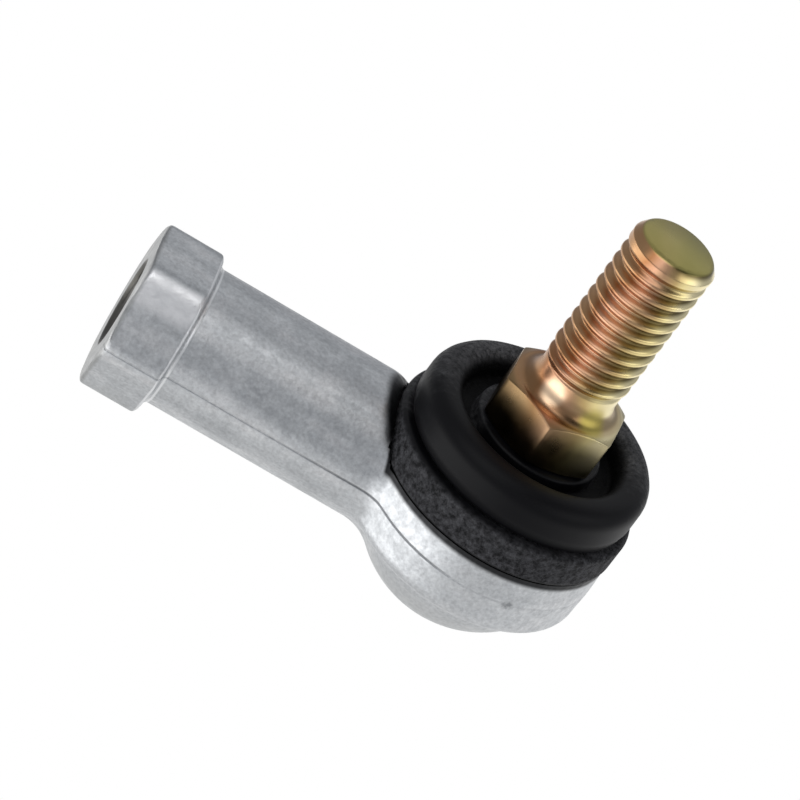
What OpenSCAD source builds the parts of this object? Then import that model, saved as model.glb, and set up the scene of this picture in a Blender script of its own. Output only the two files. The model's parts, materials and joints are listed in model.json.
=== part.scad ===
// Right-angle ball joint: cast rod-end housing, steel ball on a threaded stud, rubber dust boot.
// Units are millimetres. The origin is the mouth of the rod thread, +X runs to the ball,
// and +Z runs along the stud.

/* [Rod end] */
// Mouth of the rod thread to the centre of the ball
centre_dist = 27.6; // [25:0.1:34]
// Hexagon at the rod end, across flats
rod_hex_af = 10.8; // [9.4:0.1:12.6]
// Length of the hexagon along the shank
rod_hex_len = 4.35; // [2.5:0.05:6]
// Rounding taken off the long corners of the hexagon
rod_hex_round = 0.14; // [0.05:0.01:0.3]
// Chamfer on the turned corners of the hexagon
rod_hex_chamfer = 0.4; // [0.1:0.05:0.6]
// Round shank
shank_d = 9.8; // [8.6:0.1:11]
// Wall of the tapped hole before the thread is cut
rod_hole_d = 5; // [4:0.05:5.8]
// Depth of the tapped hole
rod_hole_depth = 13; // [9:0.5:16]
// Lead-in chamfer of the tapped hole
rod_lead_in = 0.45; // [0.1:0.05:0.5]

/* [Head] */
// Ring round the socket, at its parting line
head_d = 17.66; // [16.5:0.02:20]
// Seat of the boot above the ball centre
seat_z = 2.25; // [1.5:0.05:3]
// Lower edge of the ring below the ball centre
ring_drop = 2.9; // [2:0.05:4]
// Draft of the ring's side each way from the parting line
ring_draft = 1.5; // [0.5:0.1:3]
// Rounding of the ring's lower edge
ring_edge_r = 0.9; // [0.3:0.05:1.4]
// Closed dome under the ball
dome_d = 16.2; // [14.8:0.1:17.2]
// Concave fillet from the shank to the dome
dome_fillet = 3.6; // [1.5:0.1:5]
// Concave fillet from the shank to the ring's sides
side_fillet = 3; // [1.2:0.1:4.5]

/* [Boot seat] */
// Slope where the shank ends beside the boot, across and down
room_flare = 1.2; // [0.4:0.1:1.8]
// Rim that carries the boot
rim_d = 14.6; // [13.2:0.1:15.6]
// Height of the rim above the seat
rim_h = 1.95; // [1.4:0.05:2.4]
// Groove round the rim for the boot's bead
bead_depth = 0.4; // [0.2:0.05:0.7]
// Height of that groove
bead_h = 0.8; // [0.4:0.05:1.1]
// Lower side of the groove above the seat
bead_lift = 0.5; // [0.3:0.05:0.7]
// Mouth of the socket through the rim
mouth_d = 9.6; // [9:0.1:10.4]
// Chamfer at the top of the mouth
mouth_chamfer = 0.35; // [0.1:0.05:0.6]

/* [Ball] */
// Ball, a stock seven-sixteenths inch size
ball_d = 11.11; // [10.4:0.01:12]
// Gap between the ball and its cast socket, all round
socket_gap = 0.03; // [0.02:0.01:0.08]

/* [Stud] */
// Thread of the stud, outside
thread_d = 6; // [5:0.1:7]
// Pitch of the thread
thread_pitch = 1; // [0.75:0.05:1.25]
// End of the stud above the collar
thread_len = 11.65; // [8:0.05:16]
// Chamfer at the end of the stud, along its length
tip_chamfer_h = 0.6; // [0.3:0.05:1]
// Same chamfer across
tip_chamfer_r = 0.45; // [0.2:0.05:0.7]
// Neck between the ball and the hexagon
neck_d = 5.2; // [4.6:0.1:5.6]
// Underside of the hexagon above the top of the ball
neck_h = 2.05; // [1.6:0.05:2.8]
// Hexagon of the stud, across flats
stud_hex_af = 8; // [7:0.1:9]
// Height of the hexagon
stud_hex_h = 3.6; // [2.6:0.05:4.6]
// Turn of the hexagon about the stud
stud_hex_turn = 22; // [0:1:59]
// Slope of the turned corners on the hexagon
stud_hex_slope = 25; // [15:1:35]
// Collar above the hexagon
collar_d = 7.7; // [6.8:0.05:7.9]
// Straight side of the collar
collar_side = 0.45; // [0.2:0.05:0.9]
// First slope of the collar, height
collar_slope_h = 0.6; // [0.3:0.05:0.9]
// First slope of the collar, across
collar_slope_r = 0.42; // [0.2:0.02:0.6]
// Second slope of the collar, up to the thread
collar_top_h = 0.7; // [0.4:0.05:1]

/* [Dust boot] */
// Skirt on the rim, outside
boot_d = 17.74; // [16.8:0.02:19]
// Height of the skirt above the seat
skirt_h = 2.6; // [2.2:0.05:3.4]
// Rounding of the skirt's upper edge
skirt_edge_r = 0.45; // [0.2:0.05:0.7]
// Crease between the skirt and the bulge
crease_d = 16.7; // [15.8:0.05:17.2]
// Middle of the bulge's round, across the boot
bulge_ring_d = 14.4; // [13.4:0.1:14.8]
// Radius of the bulge's round
bulge_r = 1.25; // [1:0.05:1.5]
// Middle of the bulge above the skirt
bulge_lift = 2.2; // [1.7:0.05:2.6]
// Wall of the bulge
boot_wall = 0.7; // [0.5:0.05:0.9]
// Lip round the neck, outside
lip_d = 9.2; // [8:0.1:10]
// Height of the lip
lip_h = 1.55; // [1:0.05:1.9]
// Floor of the recess below the top of the lip
recess_depth = 1; // [0.6:0.05:1.2]
// Gap under the hexagon
lip_gap = 0.05; // [0.02:0.01:0.2]
// Gap between the skirt and the cast wall beside it
skirt_gap = 0.06; // [0.03:0.01:0.15]
// Fit of the rubber on the metal, all round
rubber_fit = 0.01; // [0:0.005:0.03]

/* [Hidden] */
$fn = 96;
over = 1;
// Depth that joined shapes run into one another
root = 0.3;
shank_r = shank_d / 2;
head_r = head_d / 2;
dome_r = dome_d / 2;
ball_r = ball_d / 2;
neck_r = neck_d / 2;
rim_r = rim_d / 2;
boot_r = boot_d / 2;
lip_r = lip_d / 2;
socket_r = ball_r + socket_gap;
rod_corner_r = rod_hex_af / sqrt(3);
rod_turned_r = rod_corner_r - rod_hex_round;
stud_corner_r = stud_hex_af / sqrt(3);
// Ring sides: widest at the parting line, drafted up and down from it
seat_r = head_r - seat_z * tan(ring_draft);
ring_low_r = head_r - ring_drop * tan(ring_draft);
rim_top_z = seat_z + rim_h;
// Wall round the boot's skirt, cut into the end of the shank
room_r = boot_r + skirt_gap;
// Round that the side fillets end on, as far inside the ring as its drafted edge
side_r = ring_low_r;
// Heights of the stud above the ball centre
neck_z = sqrt(ball_r * ball_r - neck_r * neck_r);
hex_z = ball_r + neck_h;
hex_top_z = hex_z + stud_hex_h;
collar_z = hex_top_z + collar_side;
cone_z = collar_z + collar_slope_h;
thread_z = cone_z + collar_top_h;
tip_z = thread_z + thread_len;
collar_r = collar_d / 2;
thread_r = thread_d / 2;
cone_r = collar_r - collar_slope_r;
// Top of the collar, under the thread's crest by a quarter of a millimetre
run_out = 0.25;
cone_top_r = thread_r - run_out;
// Thread drawn as a ridge to each pitch: flat crest, flanks at 30 degrees, flat root twice the crest
thread_crest = thread_pitch / 8;
thread_flank = thread_pitch * 5 / 16;
thread_root_r = thread_r - thread_flank / tan(30);
thread_turns = ceil(thread_len / thread_pitch);
// Turned corners of the stud's hexagon, from a round just inside its flats
flat_inset = 0.1;
hex_face_r = stud_hex_af / 2 - flat_inset;
hex_corner_drop = (stud_corner_r + over - hex_face_r) * tan(stud_hex_slope);
// Boot heights above the ball centre
skirt_z = seat_z + rubber_fit;
skirt_top_z = seat_z + skirt_h;
skirt_edge_z = skirt_top_z - skirt_edge_r;
skirt_edge_mid_r = boot_r - skirt_edge_r;
bulge_z = skirt_top_z + bulge_lift;
bulge_ring_r = bulge_ring_d / 2;
bulge_in_r = bulge_r - boot_wall;
lip_top_z = hex_z - lip_gap;
lip_z = lip_top_z - lip_h;
recess_z = lip_top_z - recess_depth;
bead_z = seat_z + bead_lift;
// Hollow of the boot under its bulge, a wall inside the crease
hollow_in_r = bulge_ring_r - bulge_in_r;
hollow_out_r = crease_d / 2 - boot_wall;
// Drilled end of the tapped hole, a cone of 118 degrees
drill_point_h = rod_hole_d / 2 / tan(59);

// Places a shape that is drawn round the ball's centre
module at_ball() {
    translate([centre_dist, 0, 0]) children();
}

// Turns a shape drawn along Z so that it lies along X
module along_x() {
    rotate([0, 90, 0]) children();
}

// Half section of a concave fillet from the shank to a round of radius end_r
module flare_profile(end_r, fillet_r) {
    mid_y = shank_r + fillet_r;
    mid_x = sqrt(pow(end_r + fillet_r, 2) - pow(mid_y, 2));
    part = end_r / (end_r + fillet_r);
    difference() {
        polygon([[0, -mid_x], [mid_y, -mid_x], [part * mid_y, -part * mid_x], [0, -part * mid_x]]);
        translate([mid_y, -mid_x]) circle(r = fillet_r);
    }
}

// Half section of shank, fillet and dome, radius across and length up
module shank_profile() {
    intersection() {
        union() {
            translate([0, rod_hex_len - centre_dist - root])
                square([shank_r, centre_dist - rod_hex_len + root]);
            circle(r = dome_r);
            flare_profile(dome_r, dome_fillet);
        }
        translate([0, -2 * centre_dist]) square([2 * dome_r, 4 * centre_dist]);
    }
}

// Hexagon at the rod end, its corners chamfered
module rod_hexagon() {
    intersection() {
        rotate([0, 0, 30]) cylinder(r = rod_corner_r, h = rod_hex_len, $fn = 6);
        rotate_extrude()
            polygon([[0, 0], [rod_turned_r - rod_hex_chamfer, 0], [rod_turned_r, rod_hex_chamfer],
                [rod_turned_r, rod_hex_len - rod_hex_chamfer],
                [rod_turned_r - rod_hex_chamfer, rod_hex_len], [0, rod_hex_len]]);
    }
}

// Half section of the ring round the socket
module ring_profile() {
    polygon([[0, -ring_drop], [ring_low_r - ring_edge_r, -ring_drop],
        [ring_low_r, ring_edge_r - ring_drop], [head_r, 0], [seat_r, seat_z], [0, seat_z]]);
    intersection() {
        translate([ring_low_r - ring_edge_r, ring_edge_r - ring_drop]) circle(r = ring_edge_r);
        translate([0, -ring_drop - over]) square([head_r, ring_edge_r + over]);
    }
}

// Fillets between the shank and the ring's sides, no taller than the ring
module side_fillets() {
    intersection() {
        along_x() rotate_extrude() flare_profile(side_r, side_fillet);
        translate([-2 * head_r, -2 * head_r, -ring_drop])
            cube([2 * head_r, 4 * head_r, ring_drop + seat_z]);
    }
}

// Tapped hole with its lead-in chamfer and drilled end
module rod_hole() {
    rotate_extrude()
        polygon([[0, -over], [rod_hole_d / 2 + rod_lead_in + over, -over],
            [rod_hole_d / 2, rod_lead_in], [rod_hole_d / 2, rod_hole_depth],
            [0, rod_hole_depth + drill_point_h]]);
}

// Rim that the boot grips, with the groove for its bead
module rim() {
    difference() {
        translate([0, 0, seat_z - root]) cylinder(r = rim_r, h = rim_h + root);
        translate([0, 0, bead_z]) difference() {
            cylinder(r = rim_r + over, h = bead_h);
            translate([0, 0, -over]) cylinder(r = rim_r - bead_depth, h = bead_h + 2 * over);
        }
    }
}

// Room for the boot above its seat, sloped outwards at the top of the shank
module boot_room() {
    translate([0, 0, seat_z]) cylinder(r = room_r, h = dome_r + over);
    translate([0, 0, shank_r - room_flare])
        cylinder(r1 = room_r, r2 = room_r + room_flare + over, h = room_flare + over);
}

// Room for the ball, open through the rim
module socket() {
    sphere(r = socket_r);
    cylinder(r = mouth_d / 2, h = rim_top_z + over);
    translate([0, 0, rim_top_z - mouth_chamfer])
        cylinder(r1 = mouth_d / 2, r2 = mouth_d / 2 + mouth_chamfer + over, h = mouth_chamfer + over);
}

// Die-cast body: hexagon, shank, head ring, dome and the rim under the boot
module housing() {
    color([0.76, 0.78, 0.80]) difference() {
        union() {
            along_x() rod_hexagon();
            at_ball() difference() {
                union() {
                    along_x() rotate_extrude() shank_profile();
                    rotate_extrude() ring_profile();
                    side_fillets();
                }
                boot_room();
            }
            at_ball() rim();
        }
        along_x() rod_hole();
        at_ball() socket();
    }
}

// Bearing ball with the flat that the stud is welded to
module ball() {
    color([0.62, 0.63, 0.65]) at_ball() difference() {
        sphere(r = ball_r);
        translate([-ball_r, -ball_r, neck_z]) cube([ball_d, ball_d, ball_r]);
    }
}

// Half section of one ridge of the thread, its crest at height zero
module thread_ridge() {
    foot = thread_crest / 2 + thread_flank;
    polygon([[0, -foot], [thread_root_r, -foot], [thread_r, -thread_crest / 2],
        [thread_r, thread_crest / 2], [thread_root_r, foot], [0, foot]]);
}

// Half section of the thread, its last ridges cut back by the chamfer at the tip
module thread_profile() {
    chamfer_out_z = tip_z - tip_chamfer_h * (tip_chamfer_r + over) / tip_chamfer_r;
    intersection() {
        union() {
            translate([0, cone_z]) square([thread_root_r, tip_z - cone_z + over]);
            for (turn = [1:thread_turns])
                translate([0, thread_z + (turn - 1 / 2) * thread_pitch]) thread_ridge();
        }
        polygon([[0, cone_z], [thread_r + over, cone_z], [thread_r + over, chamfer_out_z],
            [thread_r - tip_chamfer_r, tip_z], [0, tip_z]]);
    }
}

// Half section of the turned part of the stud above the hexagon
module stud_profile() {
    polygon([[0, hex_top_z - root], [collar_r, hex_top_z - root], [collar_r, collar_z], [cone_r, cone_z],
        [cone_top_r, thread_z], [0, thread_z]]);
    thread_profile();
}

// Hexagon of the stud, turned corners above and below
module stud_hexagon() {
    intersection() {
        translate([0, 0, hex_z]) rotate([0, 0, stud_hex_turn])
            cylinder(r = stud_corner_r, h = stud_hex_h, $fn = 6);
        rotate_extrude()
            polygon([[0, hex_z], [hex_face_r, hex_z], [stud_corner_r + over, hex_z + hex_corner_drop],
                [stud_corner_r + over, hex_top_z - hex_corner_drop], [hex_face_r, hex_top_z],
                [0, hex_top_z]]);
    }
}

// Plated stud: neck, hexagon, collar and thread
module stud() {
    color([0.80, 0.66, 0.36]) at_ball() {
        translate([0, 0, neck_z]) cylinder(r = neck_r, h = hex_z - neck_z + root);
        stud_hexagon();
        rotate_extrude() stud_profile();
    }
}

// Half section of the boot: skirt with bead, crease, bulge, recess and lip
module boot_profile() {
    difference() {
        union() {
            translate([rim_r + rubber_fit, skirt_z])
                square([boot_r - rim_r - rubber_fit, skirt_edge_z - skirt_z]);
            translate([rim_r + rubber_fit, skirt_z])
                square([skirt_edge_mid_r - rim_r - rubber_fit, skirt_top_z - skirt_z]);
            translate([skirt_edge_mid_r, skirt_edge_z]) circle(r = skirt_edge_r);
            translate([rim_r - bead_depth + rubber_fit, bead_z + rubber_fit])
                square([bead_depth + over / 2, bead_h - 2 * rubber_fit]);
            translate([bulge_ring_r, rim_top_z + rubber_fit])
                square([crease_d / 2 - bulge_ring_r, bulge_z - rim_top_z - rubber_fit]);
            translate([bulge_ring_r, bulge_z]) circle(r = bulge_r);
            translate([bulge_ring_r - bulge_r, lip_z]) square([bulge_r, bulge_z - lip_z]);
            translate([neck_r + rubber_fit, lip_z])
                square([bulge_ring_r - neck_r - rubber_fit, recess_z - lip_z]);
            translate([neck_r + rubber_fit, lip_z])
                square([lip_r - neck_r - rubber_fit, lip_h]);
        }
        translate([bulge_ring_r, bulge_z]) circle(r = bulge_in_r);
        translate([hollow_in_r, rim_top_z + rubber_fit])
            square([hollow_out_r - hollow_in_r, bulge_z - rim_top_z - rubber_fit]);
    }
}

// Moulded rubber boot
module dust_boot() {
    color([0.10, 0.10, 0.11]) at_ball() rotate_extrude() boot_profile();
}

housing();
ball();
stud();
dust_boot();
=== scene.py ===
# %% [markdown]
# # A right-angle ball joint
# The part is a linkage end. A zinc casting has a tapped shank on one side and a closed dome on the other, a
# steel ball turns in the dome, and a plated stud stands on the ball. A rubber boot keeps the grease in.
# The CAD model gives the main sizes and places. This lesson gives the same pieces their real skin: soft cast
# edges, cut threads, moulded rubber, and a finish for each material.

# %% Load the frame
import json
import math

import bmesh
import bpy
import numpy as np
from mathutils import Matrix, Vector


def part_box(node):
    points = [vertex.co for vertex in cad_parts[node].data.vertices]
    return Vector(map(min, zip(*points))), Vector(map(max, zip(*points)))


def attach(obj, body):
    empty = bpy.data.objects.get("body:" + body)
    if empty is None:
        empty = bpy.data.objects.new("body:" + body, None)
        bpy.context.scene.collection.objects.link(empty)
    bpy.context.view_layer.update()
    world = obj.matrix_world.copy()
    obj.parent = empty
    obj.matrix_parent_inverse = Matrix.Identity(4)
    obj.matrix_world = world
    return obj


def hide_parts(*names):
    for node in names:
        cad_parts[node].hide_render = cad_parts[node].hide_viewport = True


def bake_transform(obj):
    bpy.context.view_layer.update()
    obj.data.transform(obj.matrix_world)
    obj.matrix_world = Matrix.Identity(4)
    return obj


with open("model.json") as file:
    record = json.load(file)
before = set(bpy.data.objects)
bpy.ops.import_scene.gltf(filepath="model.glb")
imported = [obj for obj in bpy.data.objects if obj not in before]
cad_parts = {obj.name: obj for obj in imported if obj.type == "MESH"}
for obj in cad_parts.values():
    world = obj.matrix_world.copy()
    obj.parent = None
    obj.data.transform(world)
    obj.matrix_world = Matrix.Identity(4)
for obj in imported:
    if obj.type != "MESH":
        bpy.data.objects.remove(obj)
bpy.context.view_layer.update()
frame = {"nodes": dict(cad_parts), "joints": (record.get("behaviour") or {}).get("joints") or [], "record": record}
MM = 0.001

# %% [markdown]
# ## Driving sizes
# Everything is drawn in millimetres round the centre of the ball, because that point is on every axis of the
# joint: the shank lies along -X and the stud along +Z. The frame gives the places that other parts rely on.
# The other sizes of the casting, the stud and the boot are named where they are first needed.

# %% Places from the frame, in millimetres round the ball
def corners(node):
    """Lowest and highest corner of a CAD node, in millimetres from the ball's centre."""
    low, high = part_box(node)
    return (np.array(low) - BALL) / MM, (np.array(high) - BALL) / MM


def at(x, y, z):
    """A point in metres in the part's frame, from millimetres round the ball."""
    return tuple(BALL + np.array([x, y, z]) * MM)


BALL = np.array(next(j for j in frame["joints"] if j["name"] == "tilt")["pos_m"])
mounts = {m["name"]: m for m in frame["record"]["mounts"]}
cast_low, cast_high = corners("housing")
stud_low, stud_high = corners("stud")
boot_low, boot_high = corners("dust_boot")

FIT = 0.01  # room between rubber and metal
HEX_X = cast_low[0]  # end face of the rod hexagon
HEAD_R = cast_high[1]  # ring round the socket, at the parting line
DOME_R = -cast_low[2]  # closed dome under the ball
BOOT_R = boot_high[0]  # skirt of the boot
SEAT_Z = boot_low[2] - FIT  # seat of the boot
TIP_Z = stud_high[2]  # end of the stud
NECK_Z = stud_low[2]  # weld between ball and stud
THREAD_R = mounts["stud_thread"]["dims"]["r_mm"]
HOLE_R = mounts["rod_thread"]["dims"]["r_mm"]
PITCH = 1.0  # both threads
print("ball centre", BALL.round(4), "head", HEAD_R.round(2), "dome", DOME_R.round(2), "tip", TIP_Z.round(2))

# %% [markdown]
# ## From formulas to meshes
# A grid of points with rows and columns becomes a mesh by joining each point to its neighbours. Indices are
# made as whole arrays, so a hundred thousand faces take no longer to write than ten.

# %% Grid helpers
def grid_quads(index):
    """Quads between neighbouring entries of a 2-D array of vertex numbers."""
    a, b = index[:-1, :-1], index[:-1, 1:]
    c, d = index[1:, 1:], index[1:, :-1]
    return np.stack([a, b, c, d], -1).reshape(-1, 4)


def ring_quads(rows, cols):
    """Quads of a grid whose last column joins its first, vertices numbered row by row."""
    index = np.arange(rows * cols).reshape(rows, cols)
    return grid_quads(np.hstack([index, index[:, :1]]))


def fan(loop, pole):
    """Triangles from a closed loop of vertex numbers to one pole."""
    return np.stack([loop, np.roll(loop, -1), np.full_like(loop, pole)], -1)


def capped(grid, poles):
    """Points and faces of a grid of rings, its first and its last ring closed to a pole each."""
    rows, cols = grid.shape[:2]
    points = np.concatenate([grid.reshape(-1, 3), poles])
    first, last = np.arange(cols), (rows - 1) * cols + np.arange(cols)
    return points, [ring_quads(rows, cols), fan(first, rows * cols), fan(last, rows * cols + 1)]


print("a ring of 3 rows and 8 columns has", len(ring_quads(3, 8)), "quads")

# %% Round forms
def full_turn(cols):
    """Angles of evenly spaced columns round a circle."""
    return np.linspace(0, 2 * np.pi, cols, endpoint=False)


def around(radius, height, turn):
    """Points about Z: radius times cosine and sine of the turn, at a height. A single column is repeated."""
    radius, height, turn = np.broadcast_arrays(radius, height, turn)
    return np.stack([radius * np.cos(turn), radius * np.sin(turn), height], -1)


def share(value, start, end):
    """How far a value has come from start to end, held between 0 and 1."""
    return np.clip((value - start) / (end - start), 0, 1)


def ease(part):
    """Smooth step: three times the square less two times the cube, level at 0 and at 1."""
    return part * part * (3 - 2 * part)


print("a quarter of the way eases to", ease(share(2.5, 0, 10)))

# %% Meshes
MERGE = 0.0005  # points closer than this are one point


def weld(mesh):
    """Merges vertices that share a place, drops collapsed faces and turns all normals outwards."""
    work = bmesh.new()
    work.from_mesh(mesh)
    bmesh.ops.remove_doubles(work, verts=work.verts, dist=MERGE * MM)
    bmesh.ops.dissolve_degenerate(work, edges=work.edges, dist=MERGE * MM)
    bmesh.ops.recalc_face_normals(work, faces=work.faces)
    work.to_mesh(mesh)
    work.free()


def put(name, data):
    """A new object in the scene, for a mesh, a lamp or a camera."""
    thing = bpy.data.objects.new(name, data)
    bpy.context.scene.collection.objects.link(thing)
    return thing


def build_mesh(name, points, faces):
    """A mesh object at the origin, from millimetre points round the ball."""
    mesh = bpy.data.meshes.new(name)
    spots = np.asarray(points) * MM + BALL
    mesh.from_pydata(spots.tolist(), [], [f for part in faces for f in part.tolist()])
    return put(name, mesh)


def build_solid(name, points, faces):
    """A closed mesh object, with its seams welded and its normals turned outwards."""
    piece = build_mesh(name, points, faces)
    weld(piece.data)
    return piece


def spots_of(piece):
    """Where the vertices of a piece are, in metres, one row each."""
    spots = np.empty(len(piece.data.vertices) * 3, np.float32)
    piece.data.vertices.foreach_get("co", spots)
    return spots.reshape(-1, 3)


def smooth(piece, sharp_deg):
    """Smooth shading, with edges sharper than the given angle kept crisp."""
    mesh = piece.data
    mesh.shade_smooth()
    mesh.set_sharp_from_angle(angle=math.radians(sharp_deg))


def report(piece):
    """Prints how large a piece's mesh is."""
    mesh = piece.data
    mesh.calc_loop_triangles()
    print(f"{piece.name}: {len(mesh.vertices)} points, {len(mesh.loop_triangles)} triangles")


print("points merge within", MERGE, "mm")

# %% [markdown]
# ## The casting
# A die casting has no sharp inside corners: metal has to flow round them. One way to model that is to bevel a
# sharp model edge by edge. Here the body is a distance field instead: each form says how far a point lies
# outside it, and two forms are joined with a fillet of a chosen radius. Rays sent out from the middle of the
# shank and the head then find where the field is zero, and those points are the skin.

# %% Joining distance fields
def round_union(a, b, radius):
    """Union of two fields with a concave fillet: a circle of that radius touches both surfaces."""
    inside = np.hypot(np.maximum(radius - a, 0), np.maximum(radius - b, 0))
    return np.maximum(radius, np.minimum(a, b)) - inside


def round_meet(a, b, radius):
    """Common part of two fields with its edge rounded to that radius."""
    outside = np.hypot(np.maximum(radius + a, 0), np.maximum(radius + b, 0))
    return np.minimum(-radius, np.maximum(a, b)) + outside


off_wall = 2 - math.sqrt(2)
on_fillet = round_union(off_wall, off_wall, 2)
print("field of a 2 mm fillet,", round(off_wall, 3), "mm off both walls:", on_fillet.round(6))

# %% [markdown]
# The shank is a rod that flares into a ball by a concave arc. The hexagon at its end is three pairs of flats,
# with corners turned round on a lathe and a small chamfer at both faces.

# %% Shank and rod hexagon
SHANK_R = 4.9
HEX_FLAT_R = 5.4  # half the width of the rod hexagon across its flats
HEX_LEN, HEX_CHAMFER = 4.35, 0.4
HEX_ROUND_R = 6.1  # turned corners
HEX_EDGE_R, HEX_CORNER_R = 0.75, 0.25  # rounding between flats, and from a flat to a turned corner
HEX_CONE_R, HEX_FACE_R = 0.12, 0.22  # rounding of the chamfers and of the end faces
FLAT_TURNS = np.radians([30.0, 90.0, 150.0])


def flared_shank(x, y, z, end_r, fillet_r):
    """Shank about X that widens by a concave arc into a ball of radius end_r: arc tangent to both."""
    mid_r = SHANK_R + fillet_r
    mid_x = -math.sqrt((end_r + fillet_r) ** 2 - mid_r ** 2)
    touch_x = mid_x * end_r / (end_r + fillet_r)
    radius = np.hypot(y, z)
    arc = fillet_r - np.hypot(x - mid_x, radius - mid_r)
    shank = radius - SHANK_R
    ball = np.sqrt(x * x + y * y + z * z) - end_r
    return np.where(x < mid_x, shank, np.where(x < touch_x, np.where(radius > mid_r, ball, arc), ball))


def rod_hexagon(x, y, z):
    """Six flats about X, met by the round of the turned corners, by 45 degree cones and by both end faces."""
    radius = np.hypot(y, z)
    sides = [np.abs(y * math.cos(t) + z * math.sin(t)) - HEX_FLAT_R for t in FLAT_TURNS]
    flats = round_meet(round_meet(sides[0], sides[1], HEX_EDGE_R), sides[2], HEX_EDGE_R)
    inside = np.minimum(x - HEX_X, HEX_X + HEX_LEN - x)
    cone = (radius - HEX_ROUND_R + HEX_CHAMFER - inside) / math.sqrt(2)
    turned_corners = round_meet(flats, radius - HEX_ROUND_R, HEX_CORNER_R)
    return round_meet(round_meet(turned_corners, cone, HEX_CONE_R), -inside, HEX_FACE_R)


print("hexagon at the middle of a flat:", rod_hexagon(HEX_X + HEX_LEN / 2, 0.0, HEX_FLAT_R).round(4))

# %% [markdown]
# The head is a ring with draft, so that it leaves the die, over a closed dome. The shank stops at a wall
# beside the boot's skirt, with an edge that is rounder the higher it stands. The two halves of the die leave
# a fine line all round, which was dressed off on the far half of the head.

# %% Head and whole casting
DOME_FILLET, SIDE_FILLET = 3.6, 3.0  # from the shank to the dome and to the ring
RING_DROP = 2.9  # lower edge of the ring
RING_DRAFT = math.tan(math.radians(1.5))
RING_EDGE_R = 0.9
SIDE_R = HEAD_R - RING_DROP * RING_DRAFT
SIDE_BLEND_R, RING_BLEND_R, HEX_FILLET = 0.15, 0.8, 0.4
RIM_R, RIM_TOP = 7.3, SEAT_Z + 1.95
ROOM_R = BOOT_R + 0.08  # wall beside the boot's skirt, where the shank ends
SPARE, WALL_SPARE = 0.25, 0.12  # metal left on seat, rim and wall for their cutter
END_Z, END_R = (2.4, 4.4), (0.3, 1.4)  # rounding of the shank's end, growing with height
END_X, END_LEAST_R = (-8.6, -6.6), 0.08  # where that rounding stops, and what is left of it
LINE_DEPTH, LINE_W = 0.05, 0.07  # parting line
LINE_FADE, LINE_LEFT = (-3.0, 0.5), 0.25  # where it was dressed off, and the share that is left


def head_ring(x, y, z):
    """Ring about Z, drafted from the parting line, with the fillets that lead into its sides."""
    ring = np.hypot(x, y) - HEAD_R + np.abs(z) * RING_DRAFT
    sides = round_union(ring, flared_shank(x, y, z, SIDE_R, SIDE_FILLET), SIDE_BLEND_R)
    return round_meet(sides, -RING_DROP - z, RING_EDGE_R)


def boot_room(x, y, z):
    """Positive in the room above the seat and inside the wall."""
    return np.minimum(ROOM_R - WALL_SPARE - np.hypot(x, y), z - SEAT_Z - SPARE)


def casting_field(x, y, z):
    """Distance outside the blank casting: shank, dome and ring less the boot's room, plus rim and hexagon."""
    body = flared_shank(x, y, z, DOME_R, DOME_FILLET)
    body = round_union(body, head_ring(x, y, z), RING_BLEND_R)
    end_r = np.interp(z, END_Z, END_R) * np.interp(x, END_X, [1, 0]) + END_LEAST_R
    rim = np.maximum(np.hypot(x, y) - RIM_R - SPARE, np.abs(z - SEAT_Z) - RIM_TOP + SEAT_Z - SPARE)
    body = np.minimum(round_meet(body, boot_room(x, y, z), end_r), rim)
    body = round_union(body, rod_hexagon(x, y, z), HEX_FILLET)
    line = LINE_DEPTH * np.interp(x, LINE_FADE, [1, LINE_LEFT])
    return body + line * np.exp(-(z / LINE_W) ** 2)


print("casting field at the dome's lowest point:", casting_field(*np.array([[0.0], [0.0], [-DOME_R]])))

# %% [markdown]
# The rays leave the shank's axis square to it, and fan out round the ball's centre over the head. Rows are
# closer where the form turns quickly, and columns are closer at the parting line. Halving the search length
# forty times finds the skin on every ray at once.

# %% Skin of the casting
HEX_FOOT = HEX_X + HEX_LEN
ROW_SPANS = [  # from, to and number of rows along the shank
    (HEX_X, HEX_X + 0.7, 14), (HEX_X + 0.7, HEX_FOOT - 0.7, 8), (HEX_FOOT - 0.7, HEX_FOOT + 0.6, 26),
    (HEX_FOOT + 0.6, -11.0, 30), (-11.0, 0.0, 80)]
HEAD_ROWS, CAST_COLS = 84, 256
LINE_PULL = 0.42  # how much the columns gather at the parting line
RAY_LENGTH, HALVINGS = 16.0, 40
FACE_RINGS = np.linspace(0.1, 0.9, 9)  # rings on the end face, as shares of its size


def casting_rays():
    """Start and direction of each ray: square to the shank, then leaning further forward row by row."""
    step = full_turn(CAST_COLS)
    turn = step - LINE_PULL * np.sin(2 * step)
    straight = np.concatenate([np.linspace(*span, endpoint=False) for span in ROW_SPANS])
    lean = np.linspace(0, np.pi / 2, HEAD_ROWS, endpoint=False)
    lean = np.concatenate([np.zeros(len(straight)), lean])[:, None]
    flat = np.cos(lean)
    way = np.stack(np.broadcast_arrays(np.sin(lean), flat * np.cos(turn), flat * np.sin(turn)), -1)
    origin = np.zeros_like(way)
    origin[:len(straight), :, 0] = straight[:, None]
    return origin, way


def skin_on_rays(origin, way):
    """Where the field is zero on each ray: the half of the search length that holds the skin is kept."""
    inner, outer = np.zeros(way.shape[:2]), np.full(way.shape[:2], RAY_LENGTH)
    for _ in range(HALVINGS):
        middle = (inner + outer) / 2
        outside = casting_field(*np.moveaxis(origin + way * middle[..., None], -1, 0)) > 0
        inner, outer = np.where(outside, inner, middle), np.where(outside, middle, outer)
    return origin + way * inner[..., None]


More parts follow.
